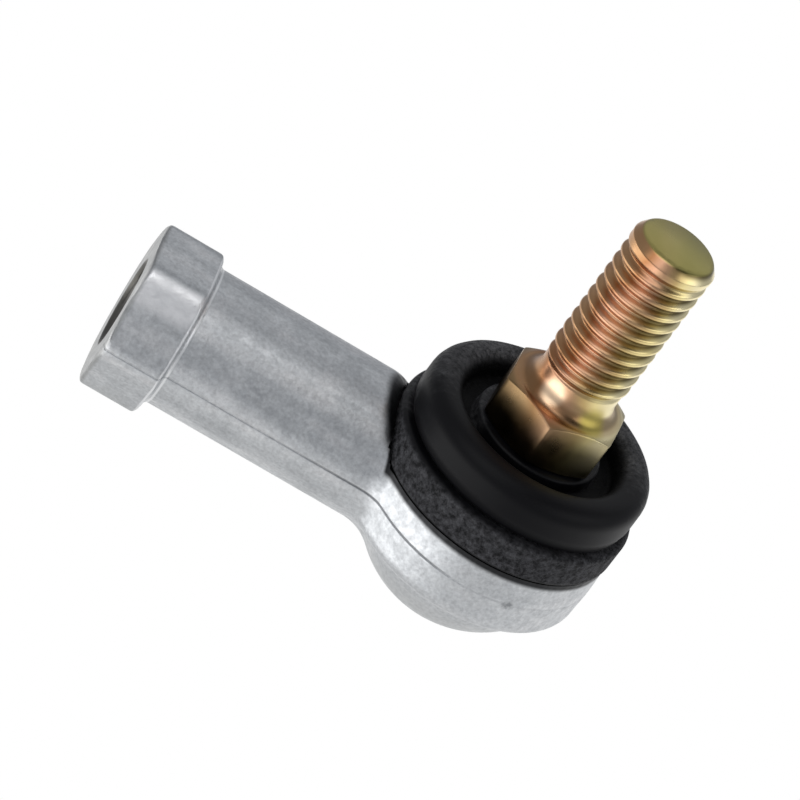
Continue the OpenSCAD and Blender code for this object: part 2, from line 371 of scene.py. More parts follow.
def casting_skin():
    """Rings on the end face, then the rows on the rays, closed by a pole at the rod end and on the head."""
    rows = skin_on_rays(*casting_rays())
    face = rows[:1] * np.array([0, 1, 1]) * FACE_RINGS[:, None, None] + np.array([HEX_X, 0, 0])
    return capped(np.concatenate([face, rows]), np.array([[HEX_X, 0, 0], [HEAD_R, 0, 0]]))


casting = build_solid("zinc_casting", *casting_skin())
report(casting)

# %% [markdown]
# ## Threads
# A thread is a ridge wound round a cylinder. If the grid's rows follow the helix, every crest and root lies
# on one row and stays sharp with few faces. A point in column j is raised by that share of the pitch, and the
# last column joins the row one whole pitch higher. Rows past either end are clipped to it and then merge.

# %% Threaded surface
ROWS_PER_PITCH = 20
CREST, ROOT = 0.16, 0.10  # flats on the crest and in the root, as shares of the pitch
FLANK_EASE = 0.7  # how much of each flank is eased like rolled metal, the rest being straight


def thread_wave(turns):
    """Wave of one period: 1 on the crest, 0 in the root, flanks partly straight and partly a smooth step."""
    offset = np.abs((turns + 0.5) % 1.0 - 0.5)
    flank = share(offset, 0.5 - ROOT / 2, CREST / 2)
    return (1 - FLANK_EASE) * flank + FLANK_EASE * ease(flank)


def threaded_surface(low, high, turn, radius):
    """Helical rows from height low to high; radius(height, turns) gives the surface, turns in pitches."""
    cols = len(turn)
    lift = (turn - turn[0]) / (2 * np.pi)
    count = int(math.ceil((high - low) / PITCH * ROWS_PER_PITCH)) + 2 * ROWS_PER_PITCH
    height = low - PITCH + PITCH * (np.arange(count)[:, None] / ROWS_PER_PITCH + lift)
    height = np.clip(height, low, high)
    points = around(radius(height, height / PITCH - lift), height, turn)
    index = np.arange(count * cols).reshape(count, cols)
    body = index[:-ROWS_PER_PITCH]
    quads = grid_quads(np.hstack([body, index[ROWS_PER_PITCH:, :1]]))
    return points.reshape(-1, 3), quads, body[0], body[-1]


print("thread wave at crest, flank and root:", thread_wave(np.array([0.0, 0.25, 0.5])).round(3))

# %% [markdown]
# The tapped hole is cut out of the casting with a solid of the same helix, and the room for ball and boot
# with a turned solid. Cutting is a Boolean step: both solids are closed, so the result is closed too.

# %% Cutter for the tapped hole
HOLE_DEPTH, DRILL_POINT = 13.0, 1.5
HOLE_GROOVE, LEAD_IN = 0.5, 0.45
GROOVE_END, GROOVE_FADE = HOLE_DEPTH - 1.0, 0.8
OVERSHOOT = 1.0  # the cutter starts this far outside the end face
HOLE_COLS = 96


def hole_radius(height, turns):
    """Core radius plus the groove, which fades out near the end, or the lead-in cone where that is wider."""
    groove = HOLE_GROOVE * thread_wave(turns) * share(height, GROOVE_END, GROOVE_END - GROOVE_FADE)
    return np.maximum(HOLE_R + groove, HOLE_R + HOLE_GROOVE + LEAD_IN / 2 - np.maximum(height, 0))


def rod_thread_cutter():
    """Solid of the tapped hole: a threaded plug along +X from outside the end face to the drill's point."""
    points, quads, first, last = threaded_surface(-OVERSHOOT, HOLE_DEPTH, full_turn(HOLE_COLS), hole_radius)
    points = np.concatenate([points, [[0, 0, -OVERSHOOT], [0, 0, HOLE_DEPTH + DRILL_POINT]]])
    along_x = np.stack([points[:, 2] + HEX_X, points[:, 1], -points[:, 0]], -1)
    return along_x, [quads, fan(first, len(points) - 2), fan(last, len(points) - 1)]


def cut(piece, cutter):
    """Takes a closed cutter out of a closed piece and removes the cutter."""
    step = piece.modifiers.new("cut", "BOOLEAN")
    step.operation, step.solver, step.object = "DIFFERENCE", "EXACT", cutter
    graph = bpy.context.evaluated_depsgraph_get()
    result = bpy.data.meshes.new_from_object(piece.evaluated_get(graph))
    piece.modifiers.remove(step)
    old, piece.data = piece.data, result
    name = old.name
    bpy.data.meshes.remove(old)
    result.name = name
    bpy.data.objects.remove(cutter)


cut(casting, build_solid("rod_thread_cutter", *rod_thread_cutter()))
report(casting)

# %% Cutter for the ball and the boot
SOCKET_R = 5.585
MOUTH_R, MOUTH_CHAMFER = 4.8, 0.35
RIM_EDGE = 0.1
BEAD_LOW, BEAD_H, BEAD_DEPTH = SEAT_Z + 0.5, 0.8, 0.4
CUT_TOP = 9.0
SOCKET_ROWS, TURNED_COLS = 48, 192


def turned(profile):
    """Closed surface of revolution about Z: a profile from pole to pole, radius and height in each row."""
    grid = around(profile[1:-1, :1], profile[1:-1, 1:], full_turn(TURNED_COLS))
    return capped(grid, np.array([[0, 0, profile[0, 1]], [0, 0, profile[-1, 1]]]))


def boot_room_profile():
    """Socket sphere up to the mouth, over the rim and its bead groove, out along the seat and up."""
    top = math.asin(math.sqrt(1 - (MOUTH_R / SOCKET_R) ** 2))
    angle = np.linspace(-np.pi / 2, top, SOCKET_ROWS)
    sphere = SOCKET_R * np.stack([np.cos(angle), np.sin(angle)], -1)
    sphere[0, 0] = 0
    groove_r, bead_top = RIM_R - BEAD_DEPTH, BEAD_LOW + BEAD_H
    mouth = [[MOUTH_R, RIM_TOP - MOUTH_CHAMFER], [MOUTH_R + MOUTH_CHAMFER, RIM_TOP]]
    rim = [[RIM_R - RIM_EDGE, RIM_TOP], [RIM_R, RIM_TOP - RIM_EDGE]]
    bead = [[RIM_R, bead_top], [groove_r, bead_top], [groove_r, BEAD_LOW], [RIM_R, BEAD_LOW]]
    seat = [[RIM_R, SEAT_Z], [ROOM_R, SEAT_Z], [ROOM_R, CUT_TOP], [0, CUT_TOP]]
    return np.concatenate([sphere, mouth, rim, bead, seat])


cut(casting, build_solid("boot_room_cutter", *turned(boot_room_profile())))
smooth(casting, sharp_deg=32)
report(casting)

# %% [markdown]
# ## The stud
# The stud is turned from hexagon bar: a neck welded to the ball, six flats whose corners are turned to a
# cone, a collar that sweeps in to a waist, and the rolled thread. The hexagon is a radius worked out from
# height and angle, and neck and collar are turned rows. The thread takes over at the waist, on the same
# columns, so the two grids weld.

# %% Hexagon of the stud
HEX_FLAT, HEX_TURN, HEX_SLOPE = 4.0, math.radians(22.0), math.tan(math.radians(25.0))
HEX_LOW, HEX_TOP = 7.605, 11.205
CONE_INSET = 0.1  # the turned cones start just inside the flats
CORNER_CUT, CORNER_SOFT = 0.05, 0.12  # how the corners of the bar are drawn round
CONE_SOFT, CONE_BAND = 0.06, 0.5  # soft edge of the cones, and the height that holds their rows
STUD_COLS, CORNER_PULL = 192, 0.13  # columns, and how much they gather at the corners
HEX_ROWS = (12, 10, 16)  # rows on the lower cone, the flats and the upper cone


def soft_min(a, b, radius):
    """Smaller of two radii, blended over about the given width."""
    gap = np.clip(0.5 + 0.5 * (b - a) / radius, 0, 1)
    return b + (a - b) * gap - radius * gap * (1 - gap)


def stud_turns():
    """Column angles, gathered at the six corners of the hexagon."""
    step = full_turn(STUD_COLS)
    return HEX_TURN + step - CORNER_PULL * np.sin(6 * step)


def hexagon_rows(turn):
    """Flats at half the width over the cosine of the angle from their middle, cut by a cone at both ends."""
    low, high = HEX_LOW + CONE_BAND, HEX_TOP - CONE_BAND
    height = np.concatenate([np.linspace(HEX_LOW, low, HEX_ROWS[0], endpoint=False),
                             np.linspace(low, high, HEX_ROWS[1], endpoint=False),
                             np.linspace(high, HEX_TOP, HEX_ROWS[2])])
    sector = (turn - HEX_TURN) % (np.pi / 3) - np.pi / 6
    corner = HEX_FLAT / math.cos(np.pi / 6)
    flats = soft_min(HEX_FLAT / np.cos(sector), corner - CORNER_CUT, CORNER_SOFT)
    into = np.minimum(HEX_TOP - height, height - HEX_LOW)
    cones = HEX_FLAT - CONE_INSET + into / HEX_SLOPE
    return around(soft_min(flats, cones[:, None], CONE_SOFT), height[:, None], turn)


print("stud hexagon:", hexagon_rows(stud_turns()).shape[:2], "rows and columns")

# %% Neck, collar and thread of the stud
NECK_R, NECK_FILLET = 2.6, 0.12
FACE_R = HEX_FLAT - 0.3  # flat face under the hexagon
COLLAR_R, COLLAR_LOW, SWEEP_ROWS = 3.8, HEX_TOP + 0.02, 18
WAIST_R, WAIST_Z = 2.86, HEX_TOP + 1.35
THREAD_Z, RUN_IN = HEX_TOP + 1.9, 0.7
THREAD_DEPTH = 0.42
LEAD_FROM, LEAD_TO = TIP_Z - 2.0, TIP_Z - 0.7
TIP_R, TIP_H, TIP_ROUND = THREAD_R - 0.45, 0.65, 0.18
TIP_CROWN, TIP_FACE = 0.03, 0.97  # the end face stands proud, on this share of its radius


def stud_body(turn):
    """Neck, hexagon, then a quarter ellipse that sweeps from the collar's foot to its waist."""
    neck = np.array([[NECK_R, NECK_Z], [NECK_R, HEX_LOW - NECK_FILLET], [NECK_R + NECK_FILLET, HEX_LOW],
                     [FACE_R, HEX_LOW]])
    sweep = np.linspace(0, np.pi / 2, SWEEP_ROWS)
    collar = np.stack([COLLAR_R - (COLLAR_R - WAIST_R) * np.sin(sweep),
                       WAIST_Z - (WAIST_Z - COLLAR_LOW) * np.cos(sweep)], -1)
    low_rows, top_rows = [around(rows[:, :1], rows[:, 1:], turn) for rows in (neck, collar)]
    return np.concatenate([low_rows, hexagon_rows(turn), top_rows])


def stud_thread_radius(height, turns):
    """Rolled thread: wave between root and crest that fades into the waist and into the chamfered tip."""
    lead = ease(share(height, LEAD_FROM, LEAD_TO))
    wave = THREAD_R - THREAD_DEPTH * (1 - thread_wave(turns)) * (1 - lead)
    wave = WAIST_R + (wave - WAIST_R) * share(height, THREAD_Z, THREAD_Z + RUN_IN)
    chamfer = TIP_R + (TIP_Z - height) * (THREAD_R - TIP_R) / TIP_H
    edge = share(height, TIP_Z - TIP_ROUND, TIP_Z)
    return np.minimum(wave, chamfer) - TIP_ROUND * (1 - np.sqrt(1 - edge * edge))


def stud_surface():
    """Body and thread on shared columns, closed at the weld and at the slightly crowned tip."""
    turn = stud_turns()
    rows = stud_body(turn)
    thread, quads, _, last = threaded_surface(WAIST_Z, TIP_Z, turn, stud_thread_radius)
    tip = thread[last] * np.array([TIP_FACE, TIP_FACE, 1]) + np.array([0, 0, TIP_CROWN])
    poles = [[0, 0, NECK_Z], [0, 0, TIP_Z + TIP_CROWN]]
    points = np.concatenate([rows.reshape(-1, 3), thread, tip, poles])
    start = rows.shape[0] * STUD_COLS
    edge_loop, tip_loop = start + last, start + len(thread) + np.arange(STUD_COLS)
    loops = np.stack([edge_loop, tip_loop])
    cap = grid_quads(np.hstack([loops, loops[:, :1]]))
    weld_fan, tip_fan = fan(np.arange(STUD_COLS), len(points) - 2), fan(tip_loop, len(points) - 1)
    return points, [ring_quads(len(rows), STUD_COLS), quads + start, cap, weld_fan, tip_fan]


stud = build_solid("plated_stud", *stud_surface())
smooth(stud, sharp_deg=50)
report(stud)

# %% [markdown]
# ## The dust boot
# The boot is one moulding: a thick skirt gripped on the rim, a crease, a thin bulge that can roll as the stud
# leans, and a lip on the stud's neck. Its section is a closed outline with rounded corners, turned about the
# stud. On the real part the rubber has settled unevenly, so the crease runs a little higher on one side.

# %% Outline with rounded corners
SMALL = 1e-9  # keeps a division from a length of nothing


def unit(vectors):
    """Vectors along the last axis, each divided by its length."""
    return vectors / np.maximum(np.linalg.norm(vectors, axis=-1), SMALL)[..., None]


def rounded_outline(rows, steps=7):
    """Closed outline through rows of radius, height, rounding: each corner is an arc tangent to its sides."""
    place, size = np.array(rows)[:, :2], np.array(rows)[:, 2]
    before, after = unit(np.roll(place, 1, 0) - place), unit(np.roll(place, -1, 0) - place)
    half = np.arccos(np.clip((before * after).sum(1), -1, 1)) / 2
    reach = (size / np.tan(half))[:, None]
    first, last = place + before * reach, place + after * reach
    middle = place + unit(before + after) * (size / np.sin(half))[:, None]
    chord = first + (last - first) * np.linspace(0, 1, steps)[:, None, None] - middle
    arc = middle + unit(chord) * size[:, None]
    return np.swapaxes(np.where(size[:, None] > 0, arc, place), 0, 1).reshape(-1, 2)


def refine(outline, longest=0.25):
    """Adds evenly spaced points on the long straight sides of a closed outline."""
    ends = np.roll(outline, -1, 0)
    count = np.maximum(1, np.ceil(np.linalg.norm(ends - outline, axis=1) / longest)).astype(int)
    start = np.repeat(np.arange(len(outline)), count)
    part = (np.arange(count.sum()) - np.repeat(np.cumsum(count) - count, count)) / count[start]
    return outline[start] + (ends - outline)[start] * part[:, None]


print("a rounded square has", len(rounded_outline([[0, 0, 1], [4, 0, 1], [4, 4, 1], [0, 4, 1]])), "points")

# %% Boot section
SKIRT_TOP = SEAT_Z + 2.6
CREASE_R = 8.35
CREASE_FLOOR_R = CREASE_R - 0.42
BULGE_R, BULGE_RING_R, BULGE_Z = 1.25, 7.2, SKIRT_TOP + 2.2
WALL = 0.7
LIP_R, LIP_TOP, LIP_LOW = 4.6, HEX_LOW - 0.05, HEX_LOW - 1.6
RECESS_Z = LIP_TOP - 1.0


def boot_outline():
    """Skirt, crease, bulge, recess and lip outside; neck, hollow and bead inside."""
    rim, bead, neck = RIM_R + FIT, RIM_R - BEAD_DEPTH + FIT, NECK_R + FIT
    bead_top, bead_low = BEAD_LOW + BEAD_H - FIT, BEAD_LOW + FIT
    inner, outer = BULGE_RING_R - BULGE_R, BULGE_RING_R + BULGE_R
    hollow, wall = inner + WALL, CREASE_R - WALL
    top, arch = BULGE_Z + BULGE_R, BULGE_Z + BULGE_R - WALL
    skirt = [[rim, SEAT_Z + FIT, 0.05], [BOOT_R, SEAT_Z + FIT, 0.3], [BOOT_R, SKIRT_TOP, 0.32]]
    crease = [[CREASE_FLOOR_R, SKIRT_TOP - 0.06, 0.03], [CREASE_FLOOR_R, SKIRT_TOP + 0.1, 0.03]]
    bulge = [[outer - 0.18, SKIRT_TOP + 0.14, 0.22], [outer + 0.02, SKIRT_TOP + 0.95, 1.6],
             [outer - 0.02, top, BULGE_R * 0.98], [inner, top, BULGE_R * 0.8]]
    lip = [[inner, RECESS_Z, 0.3], [LIP_R, RECESS_Z, 0.25], [LIP_R, LIP_TOP, 0.22], [neck, LIP_TOP, 0.08],
           [neck, LIP_LOW, 0.08]]
    inside = [[hollow, LIP_LOW, 0.2], [hollow, arch, 0.45], [wall, arch, 0.45], [wall, RIM_TOP + FIT, 0.05]]
    grip = [[rim, RIM_TOP + FIT, 0.05], [rim, bead_top, 0.05], [bead, bead_top, 0.1], [bead, bead_low, 0.1],
            [rim, bead_low, 0.05]]
    return rounded_outline(skirt + crease + bulge + lip + inside + grip)


print("boot section:", len(refine(boot_outline())), "points")

# %% Boot
SETTLE, SETTLE_TURN = 0.27, math.radians(200.0)  # how far the crease settled, and on which side it is high
SETTLE_ROWS = ([SEAT_Z, SKIRT_TOP - 0.4, SKIRT_TOP, BULGE_Z], [0, 1, 1, 0])
BOOT_COLS = 192


def boot_surface():
    """Section turned about Z; the crease's height follows one slow wave round the boot."""
    section = refine(boot_outline())
    turn = full_turn(BOOT_COLS)
    rise = np.interp(section[:, 1], *SETTLE_ROWS) * np.interp(section[:, 0], [RIM_R, CREASE_R], [0, 1])
    height = section[:, 1:] + np.outer(rise, SETTLE * np.cos(turn - SETTLE_TURN))
    index = np.arange(len(section) * BOOT_COLS).reshape(-1, BOOT_COLS)
    index = np.vstack([index, index[:1]])
    quads = grid_quads(np.hstack([index, index[:, :1]]))
    return around(section[:, :1], height, turn).reshape(-1, 3), [quads]


boot = build_solid("dust_boot_rubber", *boot_surface())
smooth(boot, sharp_deg=60)
report(boot)

# %% [markdown]
# ## Finishes
# The metals' finishes are worked out from Object coordinates, which are the part's own metres, so the
# patterns keep their real scale from any side. The boot changes its shape as the stud leans, so its finish
# reads a place that is stored on its mesh. Each finish starts from one shader and adds what the real
# surface shows, together with painted highlights, painted reflections and painted shade.

# %% Nodes
def feed(tree, socket, value):
    """Links a socket to an input, or sets the input to a plain number, place or colour."""
    if isinstance(value, bpy.types.NodeSocket):
        tree.links.new(value, socket)
    elif socket.type == "RGBA":
        socket.default_value = (*value, 1)
    else:
        socket.default_value = value


def add_node(tree, kind, output, inputs, **settings):
    """A new node with its settings and inputs filled in; gives one of its outputs."""
    node = tree.nodes.new("ShaderNode" + kind)
    for name, setting in settings.items():
        setattr(node, name, setting)
    for name, value in inputs.items():
        feed(tree, node.inputs[name], value)
    return node.outputs[output]


def fill(tree, shader, **inputs):
    """Fills the shader's inputs, an underscore standing for the space in an input's name."""
    for name, value in inputs.items():
        feed(tree, shader.inputs[name.replace("_", " ")], value)


def new_finish(name, attribute=None):
    """A material with one Principled shader, placed by Object coordinates or by a mesh attribute."""
    material = bpy.data.materials.new(name)
    material.use_nodes = True
    tree = material.node_tree
    node = tree.nodes.new("ShaderNodeAttribute" if attribute else "ShaderNodeTexCoord")
    node.name = "place"
    if attribute:
        node.attribute_name = attribute
    return material, tree, tree.nodes["Principled BSDF"]


print("pieces to finish:", [casting.name, stud.name, boot.name])

# %% Place and noise
def place(tree):
    """The place that a finish works its patterns out from, in metres."""
    node = tree.nodes["place"]
    return node.outputs["Vector" if node.bl_idname == "ShaderNodeAttribute" else "Object"]


def axes(tree):
    """The three coordinates of the place, in metres."""
    split = tree.nodes.new("ShaderNodeSeparateXYZ")
    tree.links.new(place(tree), split.inputs["Vector"])
    return split.outputs


def noise(tree, scale, detail=3.0, roughness=0.5, stretch=1.0):
    """Noise on the place; scale is in features per metre, stretch below 1 draws it out along X."""
    squeezed = add_node(tree, "Mapping", "Vector", {"Vector": place(tree), "Scale": (stretch, 1, 1)})
    inputs = {"Vector": squeezed, "Scale": scale, "Detail": detail, "Roughness": roughness}
    return add_node(tree, "TexNoise", "Fac", inputs)


print("features 1 mm apart have a noise scale of", round(1 / MM))

# %% [markdown]
# A finish is mostly masks: numbers from 0 to 1 that say where a colour goes. A mask is written down as a row
# of four numbers: where it starts and ends in millimetres, and its strength before and after.

# %% Masks
def maths(tree, kind, *values):
    """One Math node on sockets or numbers."""
    return add_node(tree, "Math", "Value", dict(enumerate(values)), operation=kind)


def times(tree, first, *others):
    """Product of sockets or numbers."""
    for other in others:
        first = maths(tree, "MULTIPLY", first, other)
    return first


def plus(tree, first, second):
    """Sum of sockets or numbers."""
    return maths(tree, "ADD", first, second)


def length(tree, first, second):
    """Root of the sum of two squares: how far a point is from an axis."""
    return maths(tree, "SQRT", plus(tree, times(tree, first, first), times(tree, second, second)))


def off_ball(tree, x, forward_mm=0.0):
    """X measured from the ball's centre, or from a place that far in front of it, in metres."""
    return maths(tree, "SUBTRACT", x, at(forward_mm, 0, 0)[0])


def spread(tree, value, low, high, to_low, to_high, kind="SMOOTHSTEP"):
    """Maps a value from one range to another, held at both ends."""
    inputs = {"Value": value, "From Min": low, "From Max": high, "To Min": to_low, "To Max": to_high}
    return add_node(tree, "MapRange", "Result", inputs, interpolation_type=kind)


def fade(tree, value, mask, kind="SMOOTHSTEP"):
    """A mask row put to work on a value in metres."""
    start, end, before, after = mask
    return spread(tree, value, start * MM, end * MM, before, after, kind)


print("a mask fades over millimetres, each of", MM, "m")

# %% Spots and uneven values
SPOT_CORE = 0.4  # a spot is whole within this share of its size
NOISE_SPAN = (0.3, 0.7)  # nearly all of a noise lies between these values


def near(tree, place_mm, size_mm, strength=1.0):
    """A soft round spot about a point in millimetres from the ball, gone beyond its size."""
    gap = add_node(tree, "VectorMath", "Value", {0: place(tree), 1: at(*place_mm)}, operation="DISTANCE")
    return fade(tree, gap, (SPOT_CORE * size_mm, size_mm, strength, 0.0))


def uneven(tree, grain, low, high, kind="SMOOTHSTEP"):
    """Noise spread between a low and a high value."""
    return spread(tree, noise(tree, *grain), *NOISE_SPAN, low, high, kind)


def waver(tree, grain, width_mm):
    """Noise less a half, times a width: moves the edge of a mask to and fro."""
    return times(tree, maths(tree, "SUBTRACT", noise(tree, *grain), 0.5), width_mm * MM)


print("a spot of 1 mm is whole within", SPOT_CORE, "mm")

# %% Colour and relief
def ramp(tree, value, stops):
    """Colour ramp from (position, colour) stops."""
    node = tree.nodes.new("ShaderNodeValToRGB")
    elements = node.color_ramp.elements
    while len(elements) < len(stops):
        elements.new(0.5)
    for element, (position, colour) in zip(elements, stops):
        element.position = position
        element.color = (*colour, 1)
    tree.links.new(value, node.inputs["Fac"])
    return node.outputs["Color"]


def mixed(tree, factor, first, second, kind="MIX"):
    """Mixes two colours, each a socket or a plain colour: inputs 6 and 7 and output 2 of a Mix node."""
    return add_node(tree, "Mix", 2, {0: factor, 6: first, 7: second}, data_type="RGBA", blend_type=kind)


def bump(tree, height, strength, depth_mm, under=None):
    """Bump node from a height socket, laid over another normal where one is given."""
    inputs = {"Height": height, "Strength": strength, "Distance": depth_mm * MM}
    if under:
        inputs["Normal"] = under
    return add_node(tree, "Bump", "Normal", inputs)


def dress(piece, material):
    """Gives a piece one material and prints how many nodes make it."""
    piece.data.materials.clear()
    piece.data.materials.append(material)
    print(f"{piece.name}: {material.name}, {len(material.node_tree.nodes)} nodes")


print("stops of a ramp are positions from 0 to 1, each with a colour")

# %% [markdown]
# Die-cast zinc comes out of the mould satin and slightly mottled, with streaks drawn along the shank and a
# fine grain. The head is calmer. Places along the part are in millimetres from the rod end's face, and noise
# is given by its features per metre, detail, roughness and stretch.

# %% Zinc: clouds and speckle
CLOUDS, STREAKS, SPECKLE = (340, 3), (900, 4, 0.5, 0.07), (3800, 3, 0.6)
STREAK_SHARE, CLOUD_SPAN, SPECKLE_SPAN = 1.2, (0.8, 1.4), (0.84, 1.14)
ZINC_TONES = [(0.0, (0.47, 0.485, 0.50)), (0.5, (0.565, 0.58, 0.595)), (1.0, (0.66, 0.665, 0.675))]
ZINC_CALM, HEAD_CALM = (0.58, 0.595, 0.61), (16.0, 21.0, 0.0, 0.6)


def zinc_skin(tree, x):
    """Clouds plus drawn streaks give the tone, mixed towards one tone on the head, times a fine speckle."""
    cloud = plus(tree, noise(tree, *CLOUDS), times(tree, noise(tree, *STREAKS), STREAK_SHARE))
    shade = ramp(tree, spread(tree, cloud, *CLOUD_SPAN, 0, 1, "LINEAR"), ZINC_TONES)
    shade = mixed(tree, fade(tree, x, HEAD_CALM), shade, ZINC_CALM)
    return mixed(tree, 1.0, shade, uneven(tree, SPECKLE, *SPECKLE_SPAN, "LINEAR"), "MULTIPLY")


print("zinc tones:", [tone for _, tone in ZINC_TONES])

# %% [markdown]
# Dirt stays in the thin line where the two halves of the die met and in a small cold shut beside it.
# The edges at the back of the hexagon and the upper part of its front flat get painted highlights.

# %% Zinc: marks of the die, and painted highlights
# The second and third colours on the next line are painted highlights, for the hexagon's edges and flat.
DIRT, EDGE_HIGHLIGHT, FLAT_HIGHLIGHT = (0.10, 0.105, 0.115), (0.90, 0.91, 0.92), (0.90, 0.90, 0.91)
LINE_DIRT = (0.04, 0.13, 1.0, 0.0)  # beside the parting plane
LINE_GROWS, LINE_WEARS = (12.0, 20.0, 0.15, 0.7), (24.5, 27.5, 1.0, 0.15)
FLAW, FLAW_SIZE = (3.32, -8.22, -0.1), 0.5
FLAW_GRAIN, FLAW_UNEVEN = (2600, 2), (0.35, 0.6, 0.1, 0.6)
HIGHLIT_EDGES = (-0.13, 0.24)  # edge of the hexagon's back, and the foot of its fillet
EDGE_HIGHLIGHT_WIDTH = (0.03, 0.12, 0.8, 0.0)
FLAT_SIDE, FLAT_END, FLAT_UPPER = (-3.1, -2.6, 1.0, 0.0), (4.0, 4.4, 0.85, 0.0), (2.8, 4.0, 0.0, 1.0)
FLAT_GRAIN, FLAT_RAGGED = (500, 3), 1.2


def die_marks(tree, shade, x, z):
    """Dirt close to the parting plane, less where the line was dressed off, and in the flaw."""
    line = fade(tree, maths(tree, "ABSOLUTE", z), LINE_DIRT)
    line = times(tree, line, fade(tree, x, LINE_GROWS), fade(tree, x, LINE_WEARS))
    flaw = times(tree, near(tree, FLAW, FLAW_SIZE), spread(tree, noise(tree, *FLAW_GRAIN), *FLAW_UNEVEN))
    return mixed(tree, flaw, mixed(tree, line, shade, DIRT), DIRT)


def painted_highlights(tree, shade, x, y, z):
    """Painted highlights within a hair of two planes at the hexagon's back, and high on its front flat."""
    gaps = [maths(tree, "ABSOLUTE", off_ball(tree, x, HEX_FOOT + edge)) for edge in HIGHLIT_EDGES]
    shade = mixed(tree, fade(tree, maths(tree, "MINIMUM", *gaps), EDGE_HIGHLIGHT_WIDTH), shade, EDGE_HIGHLIGHT)
    ragged = plus(tree, z, waver(tree, FLAT_GRAIN, FLAT_RAGGED))
    flat = times(tree, fade(tree, y, FLAT_SIDE), fade(tree, x, FLAT_END), fade(tree, ragged, FLAT_UPPER))
    return mixed(tree, flat, shade, FLAT_HIGHLIGHT)


print("flaw at", FLAW, "rubbed edges at", HIGHLIT_EDGES)

# %% [markdown]
# The underside of the dome and the end face are duller. The bore is darkened with painted shade, and beside
# the boot the end of the shank is painted black as the shade in the gap between casting and boot.

# %% Zinc: dull places and painted shade
DULL_DOME, DULL_FACE = (0.41, 0.42, 0.41), (0.26, 0.26, 0.25)
# Painted shade: the first colour darkens the bore, the second blackens the shank's end by the boot.
BORE_SHADE, GAP_SHADE = (0.07, 0.065, 0.055), (0.012, 0.012, 0.013)
DOME_LOW, FACE_SKIN = (-5.5, -3.0, 0.35, 0.0), (0.1, 0.4, 0.6, 0.0)
BORE_WALL, BORE_END = (3.1, 3.4, 0.9, 0.0), (14.0, 16.0, 1.0, 0.0)
BLACK_REACH, BLACK_UP = (9.7, 10.5, 1.0, 0.0), (1.6, 2.4, 0.0, 0.96)
BLACK_BOW = 55.0  # how fast the black draws in towards the sides
TOUCH_REACH, TOUCH_UP = (ROOM_R + 0.14, ROOM_R + 0.34, 1.0, 0.0), (1.6, 2.0, 0.0, 0.96)


def dull_places_and_bore_shade(tree, shade, x, y, z):
    """Duller low on the dome and end face, painted shade within the bore's radius of the shank's axis."""
    shade = mixed(tree, fade(tree, z, DOME_LOW), shade, DULL_DOME)
    shade = mixed(tree, fade(tree, x, FACE_SKIN), shade, DULL_FACE)
    bore_shade = times(tree, fade(tree, length(tree, y, z), BORE_WALL), fade(tree, x, BORE_END))
    return mixed(tree, bore_shade, shade, BORE_SHADE)


# Painted shade in the gap between the end of the shank and the boot's skirt.
def painted_gap_shade(tree, shade, x, y, z):
    """Painted gap shade: black within a radius that shrinks with Y squared, and in a thin edge by the boot."""
    reach = length(tree, off_ball(tree, x), y)
    bowed = plus(tree, reach, times(tree, y, y, BLACK_BOW))
    black = times(tree, fade(tree, bowed, BLACK_REACH), fade(tree, z, BLACK_UP))
    touch = times(tree, fade(tree, reach, TOUCH_REACH), fade(tree, z, TOUCH_UP))
    return mixed(tree, maths(tree, "MAXIMUM", black, touch), shade, GAP_SHADE)


print("black reaches", BLACK_REACH[1], "mm from the ball's axis")

# %% Zinc finish
ZINC_ROUGH, ZINC_ROUGH_GRAIN = (0.36, 0.52), (1500, 4)
ZINC_WAVES, ZINC_GRAIN = (600, 3), (3600, 4, 0.6)


def zinc_finish():
    """Satin zinc: clouded skin, die marks, painted highlights and shade, dull places, coarse waviness, fine grain.
    """
    material, tree, shader = new_finish("die_cast_zinc")
    x, y, z = axes(tree)
    shade = die_marks(tree, zinc_skin(tree, x), x, z)
    shade = painted_highlights(tree, shade, x, y, z)
    shade = dull_places_and_bore_shade(tree, shade, x, y, z)
    shade = painted_gap_shade(tree, shade, x, y, z)
    rough = uneven(tree, ZINC_ROUGH_GRAIN, *ZINC_ROUGH)
    coarse = bump(tree, noise(tree, *ZINC_WAVES), strength=0.13, depth_mm=0.06)
    fine = bump(tree, noise(tree, *ZINC_GRAIN), strength=0.55, depth_mm=0.03, under=coarse)
    fill(tree, shader, Metallic=1.0, Base_Color=shade, Roughness=rough, Normal=fine)
    return material


dress(casting, zinc_finish())

# %% [markdown]
# The stud is zinc plated and dipped in yellow chromate. The film is so thin that its colour shifts from
# red-brown and pink to gold over a few millimetres, so a ramp across the stud gives the colours, its pale
# gold towards +X partly painted light, and slow noise moves its bounds. Heights are in millimetres above
# the ball's centre.

# %% Plated steel: the film
# The last stops, towards +X, are partly the film's gold and partly painted light.
FILM = [(0.08, (0.45, 0.26, 0.13)), (0.20, (0.36, 0.165, 0.072)), (0.34, (0.60, 0.33, 0.205)),
        (0.44, (0.55, 0.33, 0.19)), (0.58, (0.64, 0.46, 0.20)), (0.70, (0.92, 0.77, 0.37)),
        (0.85, (0.93, 0.82, 0.50))]
FILM_SPAN, FILM_GRAIN, FILM_DRIFT = (-3.5, 3.5, 0.0, 1.0), (260, 2), 4.0
TIP_OLIVE, TIP_FILM = (0.42, 0.375, 0.125), (TIP_Z - 0.2, TIP_Z - 0.05, 0.0, 0.9)
